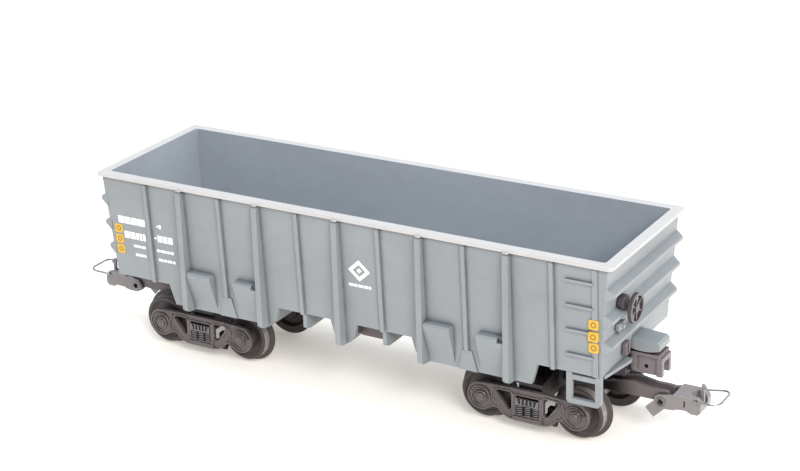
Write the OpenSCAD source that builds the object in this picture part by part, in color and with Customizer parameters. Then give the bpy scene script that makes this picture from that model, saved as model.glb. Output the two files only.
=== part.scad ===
// Open-top hopper car for 16.5 mm gauge track: a ribbed tub on a centre sill, carried by two
// four-wheel trucks whose tongues hold the loop couplers.
// X runs along the car towards the brake wheel, Y across it and Z up from the wheel flanges' feet.

/* [Body] */
// Height of the rim's top above the feet of the wheel flanges
body_top = 41; // [38:0.5:46]
// Length over the rim
rim_length = 118; // [116:1:124]
// Width over the rim
rim_width = 35.2; // [34:0.2:36]
// Width of the flat rim on every side
rim_band = 2.2; // [1.6:0.1:2.8]
// Thickness of the rim
rim_thick = 0.7; // [0.5:0.1:1.2]
// Thickness of the side sheets
side_wall = 1.5; // [1:0.1:2]
// Thickness of the end sheets
end_wall = 1.1; // [0.9:0.1:1.6]
// How far each side leans in between the rim and its lower edge
side_lean = 1.1; // [0:0.1:1.6]
// How far each end leans in between the rim and its lower edge
end_lean = 1.4; // [0:0.1:2]
// Height of the lower edge of the side and end sheets
sheet_foot = 17.8; // [17:0.1:18.4]
// Height of the lower edge of the chute skirts
skirt_foot = 13.3; // [13:0.1:14.5]
// Height of the load floor
floor_top = 20.2; // [20:0.1:22]
// Radius of the tub's inside corners
corner_round = 0.6; // [0.3:0.1:1.5]

/* [Ribs] */
// Distance between the deep side posts
post_pitch = 18.8; // [18:0.1:19.4]
// Thickness of a deep side post
post_thick = 1.2; // [0.8:0.1:1.6]
// Distance from the centre line to a post's outer edge
post_reach = 18.2; // [17.8:0.1:18.6]
// Width of a shallow side stiffener
stiff_thick = 0.8; // [0.5:0.1:1.2]
// Depth of a shallow side stiffener
stiff_depth = 0.7; // [0.4:0.1:1]
// Distance from the middle of the car to the outermost stiffeners
stiff_end_x = 46.7; // [46:0.1:47.5]
// Depth of the horizontal ribs on the ends
end_rib_depth = 1.55; // [1:0.05:1.8]
// Height of the lowest end rib
end_rib_low = 24; // [23:0.5:25]
// Distance between the end ribs
end_rib_pitch = 5.5; // [4.5:0.1:5.8]

/* [Chutes] */
// Length of a chute pocket beside its post
pocket_length = 6.5; // [5:0.1:8]
// Height of a chute pocket's upper face
pocket_top = 22.4; // [21:0.1:24]
// Height at which a pocket's face runs into the skirt
pocket_foot = 14.2; // [13.6:0.1:15]

/* [Trucks] */
// Distance from the middle of the car to a truck's centre
truck_x = 39; // [38.6:0.1:39.4]
// Distance between the two axles of a truck
wheelbase = 20.4; // [19.8:0.1:21]
// Diameter of the wheel treads
tread_dia = 10.4; // [10:0.1:10.6]
// Depth of the wheel flanges
flange_depth = 0.9; // [0.6:0.05:1]
// Distance between the backs of a pair of wheels
back_to_back = 14.3; // [14.1:0.05:14.5]
// Width of a wheel
wheel_width = 2.85; // [2.6:0.05:3]
// Distance from the centre line to the inside of a side frame
frame_in = 10.9; // [10.7:0.1:11.1]
// Thickness of a side frame
frame_thick = 1.1; // [0.9:0.1:1.3]

/* [Couplers] */
// Distance from the truck's centre to the coupler's pivot
pivot_reach = 24; // [23.6:0.1:24.6]
// Height of the coupler's pivot
pivot_z = 8.6; // [8.4:0.1:8.8]
// Diameter of the bail's wire
wire_dia = 0.45; // [0.35:0.05:0.6]
// Distance between the bail's two arms at their hinge, centre to centre
bail_width = 6; // [5.8:0.1:6.4]
// Angle at which each arm spreads outwards from its hinge
bail_spread = 8; // [4:1:12]
// Length of the bail from its hinge to its tip
bail_length = 5; // [4.5:0.1:6]
// Upward tilt of the bail as it rests on its head
bail_tilt = 6; // [0:1:12]

/* [Brake] */
// Diameter of the brake wheel
brake_wheel_dia = 6; // [5.4:0.1:6.6]
// Number of spokes in the brake wheel
brake_spokes = 6; // [4:1:8]
// Height of the brake wheel's centre
brake_z = 30.1; // [29.3:0.1:30.4]
// Distance from the centre line to the brake wheel's centre
brake_y = 8.8; // [7.4:0.1:9]

/* [Hidden] */
$fn = 48;
running = 0.05;
body_grey = [0.69, 0.71, 0.72];
frame_grey = [0.36, 0.32, 0.32];
coupler_grey = [0.55, 0.54, 0.54];
steel = [0.74, 0.74, 0.75];

rim_low = body_top - rim_thick;
half_in_x = rim_length / 2 - rim_band;
half_in_y = rim_width / 2 - rim_band;
half_out_x = half_in_x + end_wall;
half_out_y = half_in_y + side_wall;
lean_height = rim_low - sheet_foot;
floor_low = floor_top - 1.6;
plate_foot = skirt_foot - 0.3;
post_tip = skirt_foot + 0.7;
stiff_plate_foot = sheet_foot - 3.7;

wheel_r = tread_dia / 2;
flange_r = wheel_r + flange_depth;
axle_z = flange_r;
axle_r = 1;
journal_r = 0.6;
frame_out = frame_in + frame_thick;
bolster_top = 12.5;
bolster_low = 7;
centre_plate_r = 3.6;
spring_foot = 3.55;
spring_top = 6.1;

sill_half = 4.6;
sill_wall = 0.9;
sill_low = 13.4;
sill_top = floor_low - 0.1;
sill_end = 56.4;
pad_low = bolster_top + 0.1;
pin_r = 1.25;
thread_r = 1;
ballast_half = 33;
body_screw_x = 8;

tongue_in = 1.1;
tongue_out = 1.9;
cheek_in = 2;
cheek_out = 2.7;
eyelet_r = 0.85;
eyelet_bore = 0.6;
hinge_reach = 31.1;
hinge_z = 10.2;
lug_out = bail_width / 2 - wire_dia / 2 - running;

housing_face = 58.8;
housing_r = 1.5;
housing_dy = -1.4;
housing_dz = 1.5;
boss_r = 1;
brake_wheel_x = 60.1;
shaft_r = 0.45;

box_half = 2.5;
box_end = 62.5;
gear_low = 13.4;
gear_top = 17.3;
gear_half = 2.3;
gear_end = 63;

// How far a side sheet has leaned in at height z
function lean_y(z) = side_lean * (rim_low - z) / lean_height;
// How far an end sheet has leaned in at height z
function lean_x(z) = end_lean * (rim_low - z) / lean_height;
// Outer half width and half length of the tub at height z
function out_y(z) = half_out_y - lean_y(z);
function out_x(z) = half_out_x - lean_x(z);

// A shape drawn in Y and Z, run along X about the middle
module along_x(length) {
  rotate([90, 0, 90])
    linear_extrude(length, center = true)
      children();
}

// A shape drawn in X and Z, run along Y about the centre line
module along_y(width) {
  rotate([90, 0, 0])
    linear_extrude(width, center = true)
      children();
}

// A box given by its low and high corners
module block(low, high) {
  translate(low)
    cube(high - low);
}

module both_sides() {
  children();
  mirror([0, 1, 0])
    children();
}

module both_ends() {
  children();
  mirror([1, 0, 0])
    children();
}

module rounded_rect(x, y, r) {
  square([2 * x - 2 * r, 2 * y], center = true);
  square([2 * x, 2 * y - 2 * r], center = true);
  for (sx = [-1, 1], sy = [-1, 1])
    translate([sx * (x - r), sy * (y - r)])
      circle(r);
}

// ---- body shell ----

// Slanted outline of the tub seen from an end, from the foot to just under the rim
module tub_section(inset, foot) {
  top = half_out_y - inset;
  low = out_y(foot) - inset;
  polygon([[-low, foot], [low, foot], [top, rim_low], [-top, rim_low]]);
}

// Slanted outline of the tub seen from a side
module tub_profile(inset, foot) {
  top = half_out_x - inset;
  low = out_x(foot) - inset;
  polygon([[-low, foot], [low, foot], [top, rim_low], [-top, rim_low]]);
}

module tub_outside() {
  intersection() {
    along_x(2 * half_out_x) tub_section(0, sheet_foot);
    along_y(2 * half_out_y) tub_profile(0, sheet_foot);
  }
}

module tub_inside() {
  intersection() {
    along_x(2 * half_out_x) tub_section(side_wall, floor_top);
    along_y(2 * half_out_y) tub_profile(end_wall, floor_top);
    linear_extrude(body_top)
      rounded_rect(half_in_x, half_in_y, corner_round);
  }
}

module under_recess() {
  block([-out_x(sheet_foot) + end_wall, -out_y(sheet_foot) + 1, sheet_foot - 1],
        [out_x(sheet_foot) - end_wall, out_y(sheet_foot) - 1, floor_low]);
}

// Gaps in the foot of both end sheets, where the centre sill and the draft gear pass
module sill_gaps() {
  both_ends()
    block([out_x(sheet_foot) - end_wall - 0.1, -sill_half - 0.1, sheet_foot - 1],
          [out_x(sheet_foot) + 0.1, sill_half + 0.1, sill_top + 0.05]);
}

module rim() {
  translate([0, 0, rim_low])
    linear_extrude(rim_thick)
      difference() {
        rounded_rect(rim_length / 2, rim_width / 2, corner_round + 0.4);
        rounded_rect(half_in_x, half_in_y, corner_round);
      }
}

// Lower outline of the sheet hanging between two posts, drawn in X and Z
module skirt_outline() {
  first = post_pitch;
  last = 2 * post_pitch;
  polygon([
    [first - 3.1, floor_low], [first - 3.1, sheet_foot], [first - 2.3, post_tip + 0.8],
    [first - 0.6, skirt_foot], [last + 4.3, skirt_foot], [last + 5.6, sheet_foot],
    [last + 5.6, floor_low]
  ]);
}

module middle_flare() {
  polygon([
    [-3.1, floor_low], [-3.1, sheet_foot], [-2.3, post_tip + 0.8], [-0.6, skirt_foot],
    [0.6, skirt_foot], [2.3, post_tip + 0.8], [3.1, sheet_foot], [3.1, floor_low]
  ]);
}

// The skirts hang in the plane of the leaning sheet
module skirts() {
  skin = 1;
  intersection() {
    along_y(2 * half_out_y) {
      skirt_outline();
      mirror([1, 0]) skirt_outline();
      middle_flare();
    }
    both_sides()
      along_x(rim_length)
        polygon([
          [out_y(plate_foot), plate_foot], [out_y(floor_low), floor_low],
          [out_y(floor_low) - skin, floor_low], [out_y(plate_foot) - skin, plate_foot]
        ]);
  }
}

// A deep post: upright outer edge on the side, and a cross plate under the floor
module post(x) {
  translate([x, 0, 0])
    both_sides()
      along_x(post_thick)
        polygon([
          [half_out_y - 1, rim_low], [post_reach, rim_low], [post_reach, post_tip],
          [post_reach - 0.6, post_tip - 0.6], [post_reach - 3.4, plate_foot],
          [sill_half + 0.1, plate_foot], [sill_half + 0.1, floor_low],
          [out_y(floor_low) - 1, floor_low], [out_y(floor_top) - 1, floor_top]
        ]);
}

// A shallow stiffener that leans with the sheet
module stiffener(x) {
  translate([x, 0, 0])
    both_sides()
      along_x(stiff_thick)
        polygon([
          [half_out_y - 0.5, rim_low], [half_out_y + stiff_depth, rim_low],
          [out_y(sheet_foot) + stiff_depth, sheet_foot],
          [out_y(sheet_foot) - 0.5, sheet_foot]
        ]);
}

// Cross plate under the floor below a stiffener
module stiffener_plate(x) {
  translate([x, 0, 0])
    both_sides()
      along_x(stiff_thick)
        polygon([
          [sill_half + 0.1, floor_low], [sill_half + 0.1, stiff_plate_foot],
          [out_y(sheet_foot) - 1.4, stiff_plate_foot],
          [out_y(sheet_foot) - 0.2, stiff_plate_foot + 0.5],
          [out_y(sheet_foot) - 0.2, floor_low]
        ]);
}

// Raised panel that widens from a stiffener's foot down to the skirt's edge
module skirt_panel(x) {
  rise = 0.3;
  top = sheet_foot - 0.1;
  intersection() {
    translate([x, 0, 0])
      along_y(rim_width)
        polygon([[-1, top], [1, top], [2.1, skirt_foot], [-2.1, skirt_foot]]);
    both_sides()
      along_x(rim_length)
        polygon([
          [out_y(skirt_foot) - 0.5, skirt_foot], [out_y(skirt_foot) + rise, skirt_foot],
          [out_y(top) + rise, top], [out_y(top) - 0.5, top]
        ]);
  }
}

// A chute pocket: flat top, level with the posts, and a face that slopes in to the skirt
module chute_pocket(x_low, length) {
  translate([x_low + length / 2, 0, 0])
    both_sides()
      along_x(length)
        polygon([
          [out_y(pocket_top) - 0.5, pocket_top], [post_reach - 0.6, pocket_top],
          [post_reach - 0.2, pocket_top - 0.4], [post_reach - 0.3, pocket_top - 1.2],
          [out_y(pocket_foot), pocket_foot], [out_y(pocket_foot) - 0.5, pocket_foot]
        ]);
}

// Small notches in the upper faces of each bay's right-hand pocket, next to its post
module pocket_notches() {
  for (turn = [0, 180], post_x = [-post_pitch, 2 * post_pitch])
    rotate([0, 0, turn])
      translate([post_x - post_thick / 2, 0, 0])
        block([-1.4, -post_reach, pocket_top - 0.9], [0, -post_reach + 1.2, pocket_top + 1]);
}

// A ridge across the end sheet, its two ends cut back a little towards the tip
module end_rib(z) {
  face = out_x(z);
  tip = face + end_rib_depth;
  root = out_y(z) + 0.1;
  intersection() {
    along_y(2 * root)
      polygon([
        [face - 0.5, z + 1.4], [out_x(z + 1.3), z + 1.3], [tip, z + 0.35], [tip, z - 0.35],
        [out_x(z - 1.3), z - 1.3], [face - 0.5, z - 1.4]
      ]);
    linear_extrude(body_top)
      polygon([
        [face - 1, -root], [face, -root], [tip, -root + 0.5], [tip, root - 0.5], [face, root],
        [face - 1, root]
      ]);
  }
}

// Ladder moulded on the sheet at one corner: rungs, a stile and the corner post
module corner_ladder() {
  rung_low = 21.7;
  rung_pitch = 5.1;
  rung_left = 49.4;
  stile_left = 54.8;
  stile_width = 1.1;
  for (step = [0:3]) {
    z = rung_low + step * rung_pitch;
    block([rung_left, -out_y(z) - 0.5, z - 0.25], [stile_left + 0.2, -out_y(z) + 0.5, z + 0.25]);
  }
  translate([stile_left + stile_width / 2, 0, 0])
    along_x(stile_width)
      polygon([
        [-half_out_y - 0.25, rim_low], [-half_out_y + 0.5, rim_low],
        [-out_y(sheet_foot) + 0.5, sheet_foot], [-out_y(sheet_foot) - 0.25, sheet_foot]
      ]);
}

// Block over the draft gear, its underside curved up towards the end
module draft_box() {
  low = 18.3;
  top = 20.6;
  root = 55.6;
  belly_x = 59;
  belly_r = 10;
  along_y(2 * box_half)
    intersection() {
      polygon([
        [root, low - 1], [box_end, low - 1], [box_end, top - 0.5], [box_end - 0.5, top],
        [root, top + 0.4]
      ]);
      translate([belly_x, low + belly_r])
        circle(belly_r, $fn = 120);
    }
}

module body_shell() color(body_grey) {
  difference() {
    union() {
      tub_outside();
      rim();
      for (k = [-2:2]) post(k * post_pitch);
      for (k = [-1.5, -0.5, 0.5, 1.5]) stiffener(k * post_pitch);
      for (k = [-0.5, 0.5]) stiffener_plate(k * post_pitch);
      both_ends() {
        stiffener(stiff_end_x);
        chute_pocket(post_pitch, pocket_length);
        chute_pocket(2 * post_pitch - pocket_length, pocket_length);
        skirt_panel(1.5 * post_pitch);
        for (k = [0:2]) end_rib(end_rib_low + k * end_rib_pitch);
        draft_box();
      }
      corner_ladder();
      rotate([0, 0, 180]) corner_ladder();
      skirts();
    }
    tub_inside();
    sill_gaps();
    pocket_notches();
    brake_housing_outline(running);
    difference() {
      under_recess();
      for (k = [-2:2]) post(k * post_pitch);
      for (k = [-0.5, 0.5]) stiffener_plate(k * post_pitch);
      skirts();
    }
    for (s = [-1, 1])
      translate([s * body_screw_x, 0, floor_low - 0.5])
        cylinder(h = 1.6, r = 0.8);
  }
}

// ---- underframe ----

// Centre sill: a channel open at the top, with a boss over each truck
module underframe() color(frame_grey) {
  difference() {
    union() {
      block([-sill_end, -sill_half, sill_low], [sill_end, sill_half, sill_top]);
      for (s = [-1, 1])
        translate([s * truck_x, 0, pad_low])
          cylinder(h = sill_low - pad_low + 0.5, r = centre_plate_r + 0.4);
    }
    block([-ballast_half - 0.2, -sill_half + sill_wall, sill_low + 1],
          [ballast_half + 0.2, sill_half - sill_wall, sill_top + 1]);
    for (s = [-1, 1]) {
      translate([s * truck_x, 0, pad_low - 1])
        cylinder(h = sill_top - pad_low + 0.5, r = thread_r);
      translate([s * body_screw_x, 0, sill_low - 1])
        cylinder(h = 3, r = 0.85);
      translate([s * body_screw_x, 0, sill_low - 1])
        cylinder(h = 1.5, r = 1.7);
    }
  }
}

module ballast_bar() color(steel) {
  difference() {
    block([-ballast_half, -sill_half + sill_wall + 0.1, sill_low + 1],
          [ballast_half, sill_half - sill_wall - 0.1, sill_top - 0.3]);
    for (s = [-1, 1])
      translate([s * body_screw_x, 0, sill_low])
        cylinder(h = 6, r = 1.1);
  }
}

module body_screws() color(steel) {
  for (s = [-1, 1])
    translate([s * body_screw_x, 0, 0]) {
      translate([0, 0, sill_low + 0.5])
        cylinder(h = floor_low + 1.1 - sill_low - 0.5, r = 0.8);
      difference() {
        translate([0, 0, sill_low - 0.4])
          cylinder(h = 0.9, r = 1.6);
        block([-1.2, -0.2, sill_low - 0.5], [1.2, 0.2, sill_low - 0.1]);
      }
    }
}

// Shouldered screws on which the trucks turn
module kingpins() color(steel) {
  for (s = [-1, 1])
    translate([s * truck_x, 0, 0])
      difference() {
        union() {
          translate([0, 0, bolster_low + 0.2])
            cylinder(h = 1.2, r = 2);
          translate([0, 0, bolster_low + 1.4])
            cylinder(h = pad_low - bolster_low - 1.4, r = pin_r);
          translate([0, 0, pad_low])
            cylinder(h = 4.6, r = thread_r);
        }
        block([-1.5, -0.25, bolster_low], [1.5, 0.25, bolster_low + 0.7]);
      }
}

// Dummy draft gear under the draft box, with a coupler slot open at its foot
module draft_gear() color(frame_grey) {
  lid = 0.7;
  slot_half = 1.2;
  difference() {
    union() {
      block([sill_end, -gear_half + 0.5, gear_low], [gear_end, gear_half - 0.5, gear_top]);
      block([gear_end - 1.2, -gear_half, gear_low], [gear_end, gear_half, gear_top]);
      block([sill_end, -gear_half, gear_low + 0.5], [sill_end + 1.4, gear_half, gear_top]);
      block([sill_end, -box_half, gear_top], [gear_end - 0.5, box_half, gear_top + lid]);
    }
    block([gear_end - 2.4, -slot_half, gear_low - 1], [gear_end + 1, slot_half, gear_top - 1.1]);
    translate([59.5, 0, gear_low + 1.6])
      rotate([90, 0, 0])
        cylinder(h = 2 * box_half, r = 0.4, center = true);
  }
}

// Foot step below the ladder
module stirrup_step() color(body_grey) {
  left = 49.2;
  right = 56.5;
  low = 11.3;
  leg = 1.2;
  translate([0, -15.4, 0])
    along_y(1)
      difference() {
        polygon([
          [left, sheet_foot], [left, low + 0.5], [left + 0.5, low], [right - 0.8, low],
          [right, low + 0.8], [right, sheet_foot]
        ]);
        translate([left + leg, low + 1.1])
          square([right - left - 2 * leg - 0.1, 3.9]);
        translate([left + leg, sheet_foot - 0.4])
          square([right - left - 2 * leg - 0.1, 1]);
      }
}

// Moulded block for the air reservoir, hung under the floor beside the centre sill
module air_reservoir() color(frame_grey) {
  block([1.2, -12.6, 14.4], [8.4, -8.6, floor_low]);
  block([1.9, -12.2, 13.9], [7.4, -9, 14.4]);
}

// Ledge under the brake wheel
module brake_platform() color(body_grey) {
  thick = 0.7;
  translate([0, 0, sheet_foot - thick])
    linear_extrude(thick)
      polygon([[55.4, -14.6], [56.7, -14.6], [58.2, -5.8], [58, -4.9], [55.4, -4.9]]);
}

// ---- brake gear on the end ----

module at_brake_wheel(x) {
  translate([x, -brake_y, brake_z])
    rotate([0, 90, 0])
      children();
}

// Drum of the hand brake's gearbox and the boss round the wheel's shaft, both seated in the end
// sheet; grown all round by the play left for them in the sheet
module brake_housing_outline(play) {
  seat = out_x(brake_z + 1) - play;
  at_brake_wheel(seat)
    translate([-housing_dz, housing_dy, 0])
      cylinder(h = housing_face - seat, r = housing_r + play);
  at_brake_wheel(seat)
    cylinder(h = housing_face + 0.3 - seat, r = boss_r + play);
}

module brake_housing() color(frame_grey) {
  difference() {
    brake_housing_outline(0);
    at_brake_wheel(housing_face - 1)
      cylinder(h = 3, r = shaft_r + running);
  }
}

module brake_wheel() color(frame_grey) {
  rim_band_r = 0.55;
  rim_width_x = 0.8;
  spoke = 0.4;
  hub_r = 0.85;
  rim_r = brake_wheel_dia / 2;
  at_brake_wheel(brake_wheel_x) {
    rotate_extrude()
      translate([rim_r - rim_band_r, -rim_width_x / 2])
        square([rim_band_r, rim_width_x]);
    for (k = [0:brake_spokes - 1])
      rotate([0, 0, k * 360 / brake_spokes])
        translate([hub_r - 0.2, -spoke / 2, -spoke / 2])
          cube([rim_r - rim_band_r - hub_r + 0.4, spoke, spoke]);
    translate([0, 0, -rim_width_x / 2])
      cylinder(h = rim_width_x, r = hub_r);
  }
  at_brake_wheel(housing_face - 0.8)
    cylinder(h = brake_wheel_x - housing_face + 0.8, r = shaft_r);
}

// Bell crank that takes the chain down from the housing
module brake_lever() color(body_grey) {
  z = 26.6;
  top = z + 0.7;
  face = out_x(top) + running;
  block([face, -11.4, z - 0.8], [face + 0.9, -8.6, top]);
  translate([face, -10, z])
    rotate([0, 90, 0])
      cylinder(h = 1.4, r = 0.5);
}

module chain_bracket() color(frame_grey) {
  z = 20.4;
  half = 1.3;
  face = out_x(z + half) + running;
  difference() {
    block([face, -7.3, z - half], [face + 1, -5.5, z + half]);
    block([face + 0.4, -6.7, z - 1], [face + 2, -6.1, z + 1]);
  }
}

// ---- trucks, drawn about their own centre with the tongue towards +X ----

module at_truck_a() {
  translate([truck_x, 0, 0])
    children();
}

module at_truck_b() {
  rotate([0, 0, 180])
    translate([truck_x, 0, 0])
      children();
}

// One bar of the tongue, drawn in X and Z
module tongue_bar() {
  polygon([
    [2, 8.3], [2, 11], [4, 10.2], [12, 10], [17.9, 11.2], [21.7, 10.6],
    [pivot_reach + 1, 10.6], [pivot_reach + 1.5, 10], [pivot_reach + 1.5, 8.3]
  ]);
  translate([pivot_reach, pivot_z])
    circle(1.5);
}

module bolster() color(frame_grey) {
  end_y = frame_out - 0.2;
  arm_y = frame_in - 0.3;
  difference() {
    union() {
      along_x(5)
        polygon([
          [-end_y, spring_top], [end_y, spring_top], [end_y, 7.6], [arm_y, 7.7],
          [arm_y - 0.4, 10.4], [4, bolster_top - 1.2], [-4, bolster_top - 1.2],
          [-arm_y + 0.4, 10.4], [-arm_y, 7.7], [-end_y, 7.6]
        ]);
      translate([0, 0, bolster_low])
        cylinder(h = bolster_top - bolster_low, r = centre_plate_r);
      difference() {
        both_sides()
          translate([0, -(tongue_in + tongue_out) / 2, 0])
            along_y(tongue_out - tongue_in)
              tongue_bar();
        translate([pivot_reach, 0, pivot_z])
          rotate([90, 0, 0])
            cylinder(h = 8, r = eyelet_r + 0.02, center = true);
      }
      block([12.6, -tongue_out, 8.6], [14, tongue_out, 9.8]);
    }
    translate([0, 0, spring_top - 1])
      cylinder(h = bolster_top, r = pin_r + running);
    translate([0, 0, spring_top - 1])
      cylinder(h = bolster_low + 1.5 - spring_top + 1, r = 2.3);
  }
}

// Outline of a side frame, half of it, in X and Z
module frame_half() {
  arm = wheelbase / 2;
  difference() {
    polygon([
      [0, 10.2], [6, 10.1], [arm + 1.9, 9.4], [arm + 2.7, 8.4], [arm + 2.9, 6.6],
      [arm + 2.7, 4.6], [arm + 1.6, 3.3], [arm - 0.4, 3], [arm - 2, 3.4], [7.3, 4.4],
      [6.5, 4.5], [5.2, 3.1], [3.2, 2.45], [0, 2.45]
    ]);
    polygon([[3.75, 8.6], [4.1, 8.8], [6.2, 8.7], [6.7, 8.3], [4.4, 5.1], [3.75, 5.3]]);
    translate([-1, spring_foot])
      square([3.85, 5.2]);
    translate([7.6, 5.6])
      rotate(-70) {
        circle(0.3);
        translate([0.5, 0]) circle(0.3);
        translate([0, -0.3]) square([0.5, 0.6]);
      }
  }
}

module axle_box() {
  cylinder(h = 0.9, r = 1.1);
  rotate([0, 0, 20])
    rotate_extrude(angle = 140)
      translate([1.65, 0])
        square([0.4, 0.75]);
}

// Side frame on the truck's -Y side
module side_frame() color(frame_grey) {
  arm = wheelbase / 2;
  difference() {
    union() {
      translate([0, -frame_in - frame_thick / 2, 0])
        along_y(frame_thick) {
          frame_half();
          mirror([1, 0]) frame_half();
        }
      for (s = [-1, 1])
        translate([s * arm, -frame_out + 0.3, axle_z])
          rotate([90, 0, 0])
            axle_box();
    }
    for (s = [-1, 1])
      translate([s * arm, -frame_in + 0.5, axle_z])
        rotate([90, 0, 0])
          cylinder(h = frame_thick + 0.6, r = journal_r + running);
  }
}

// Three coil springs between the side frame's sill and the end of the bolster
module springs() color(frame_grey) {
  turns = 5;
  coil_r = 0.62;
  wire_r = 0.17;
  pitch = (spring_top - spring_foot - 2 * wire_r) / (turns - 1);
  for (k = [-1, 0, 1])
    translate([k * 1.75, -frame_in - frame_thick / 2, 0]) {
      for (turn = [0:turns - 1])
        translate([0, 0, spring_foot + wire_r + turn * pitch])
          rotate_extrude($fn = 32)
            translate([coil_r, 0])
              circle(wire_r, $fn = 16);
      translate([0, 0, spring_foot])
        cylinder(h = spring_top - spring_foot, r = coil_r - wire_r / 2);
    }
}

// Two cross bars with a shoe in front of each wheel
module brake_beams() color(frame_grey) {
  shoe_gap = 0.35;
  for (s = [-1, 1])
    mirror([(1 - s) / 2, 0, 0])
      difference() {
        union() {
          block([3, -frame_in, 3.2], [3.9, frame_in, 4.2]);
          both_sides() {
            block([3.4, 8.3, 2.9], [6.4, 9.7, 5.6]);
            block([3.6, 10.2, 2.6], [5.9, frame_in, 4.2]);
          }
        }
        translate([wheelbase / 2, 0, axle_z])
          rotate([90, 0, 0])
            cylinder(h = 20, r = wheel_r + shoe_gap, center = true);
      }
}

module axle() color(steel) {
  inner = back_to_back / 2;
  translate([0, 0, axle_z])
    rotate([90, 0, 0])
      rotate_extrude()
        polygon([
          [0, -frame_out + 0.1], [journal_r - 0.2, -frame_out + 0.1],
          [journal_r, -frame_out + 0.3], [journal_r, -frame_in + 0.5],
          [axle_r, -inner - wheel_width], [axle_r, inner + wheel_width],
          [journal_r, frame_in - 0.5], [journal_r, frame_out - 0.3],
          [journal_r - 0.2, frame_out - 0.1], [0, frame_out - 0.1]
        ]);
}

// Wheel on the -Y side of its axle: flange inside, dished plate and hub
module wheel() color(frame_grey) {
  back = back_to_back / 2;
  front = back + wheel_width;
  translate([0, 0, axle_z])
    rotate([90, 0, 0])
      rotate_extrude($fn = 96)
        polygon([
          [axle_r, back - 0.3], [2.2, back - 0.3], [2.6, back + 0.9], [4, back + 0.9],
          [4.4, back], [flange_r - 0.25, back], [flange_r, back + 0.25],
          [flange_r - 0.1, back + 0.5], [wheel_r + 0.15, back + 0.85],
          [wheel_r, back + 1.1], [wheel_r - 0.05, front - 0.2], [wheel_r - 0.25, front],
          [4.4, front], [4.1, front - 0.8], [2.5, front - 0.9], [2.1, front - 0.1],
          [axle_r, front - 0.1]
        ]);
}

// ---- couplers, drawn about the truck's centre ----

module cheek_outline() {
  polygon([
    [pivot_reach - 0.6, 9.9], [pivot_reach + 3, 10.4], [pivot_reach + 3, 7.4],
    [pivot_reach + 1.4, 7.2], [pivot_reach, 7.2]
  ]);
  translate([pivot_reach, pivot_z])
    circle(1.4);
}

// Square trip lug that hangs askew from one cheek
module trip_lug() {
  translate([pivot_reach - 1.4, pivot_z - 3.6])
    rotate(45)
      square([3.2, 2.5]);
}

module coupler_head() color(coupler_grey) {
  back = pivot_reach + 2.6;
  split = back + 2.6;
  front = back + 5.6;
  bowl_x = hinge_reach - 0.1;
  difference() {
    union() {
      both_sides()
        translate([0, -(cheek_in + cheek_out) / 2, 0])
          along_y(cheek_out - cheek_in)
            cheek_outline();
      translate([0, -(cheek_in + cheek_out) / 2, 0])
        along_y(cheek_out - cheek_in)
          trip_lug();
      along_y(2 * lug_out)
        polygon([
          [back, 7.6], [split, 7.8], [split + 1, 7.3], [front - 0.6, 7.3], [front, 7.9],
          [front, 9.6], [front - 0.8, hinge_z + 0.5], [back, hinge_z + 0.5]
        ]);
    }
    translate([bowl_x, 0, 8.7])
      cylinder(h = 4, r = 1.6);
    block([bowl_x, -1, 8.7], [front + 1, 1, 13]);
    translate([pivot_reach, 0, pivot_z])
      rotate([90, 0, 0])
        cylinder(h = 8, r = eyelet_r + 0.02, center = true);
    translate([hinge_reach, 0, hinge_z])
      rotate([90, 0, 0])
        cylinder(h = 8, r = wire_dia / 2 + running, center = true);
    block([split - 0.5, -3, 8.4], [split - 0.2, -2.1, 9.8]);
  }
  hook();
}

// Upright hook in the middle of the bowl
module hook() {
  translate([hinge_reach + 0.2, 0, 0])
    along_y(0.6)
      polygon([[0, 8.4], [0.6, 8.4], [0.6, 11.7], [1.1, 12], [0.5, 12.8], [0, 12.8]]);
}

// Hollow rivets that join a head to its tongue
module eyelets() color(steel) {
  both_sides()
    translate([pivot_reach, -cheek_out - 0.1, pivot_z])
      rotate([-90, 0, 0])
        difference() {
          union() {
            cylinder(h = cheek_out - tongue_in + 0.1, r = eyelet_r);
            cylinder(h = 0.1, r = eyelet_r + 0.2);
          }
          translate([0, 0, -1])
            cylinder(h = 4, r = eyelet_bore);
        }
}

// Wire loop hinged in the head's side lugs: straight and bent lengths that end inside small balls
module bail() color(steel) {
  $fn = 24;
  wire_r = wire_dia / 2;
  ball_r = wire_r * 1.06;
  hinge_y = bail_width / 2;
  bend = 1.6;
  gap = 0.02;
  gap_angle = 0.7;
  pin_in = 1.8;
  arm = (bail_length - bend - bend * sin(bail_spread)) / cos(bail_spread);
  bend_y = hinge_y + arm * sin(bail_spread) - bend * cos(bail_spread);
  translate([hinge_reach, 0, hinge_z])
    rotate([0, -bail_tilt, 0]) {
      both_sides() {
        translate([0, -hinge_y, 0]) {
          sphere(ball_r);
          rotate([-90, 0, 0])
            translate([0, 0, gap])
              cylinder(h = hinge_y - pin_in - gap, r = wire_r);
          rotate([0, 90, -bail_spread]) {
            translate([0, 0, gap])
              cylinder(h = arm - 2 * gap, r = wire_r);
            translate([0, 0, arm])
              sphere(ball_r);
          }
        }
        translate([bail_length - bend, -bend_y, 0]) {
          rotate([0, 0, gap_angle - 90 - bail_spread])
            rotate_extrude(angle = 90 + bail_spread - 2 * gap_angle)
              translate([bend, 0])
                circle(wire_r);
          translate([bend, 0, 0])
            sphere(ball_r);
        }
      }
      translate([bail_length, 0, 0])
        rotate([90, 0, 0])
          cylinder(h = 2 * (bend_y - gap), r = wire_r, center = true);
    }
}

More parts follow.
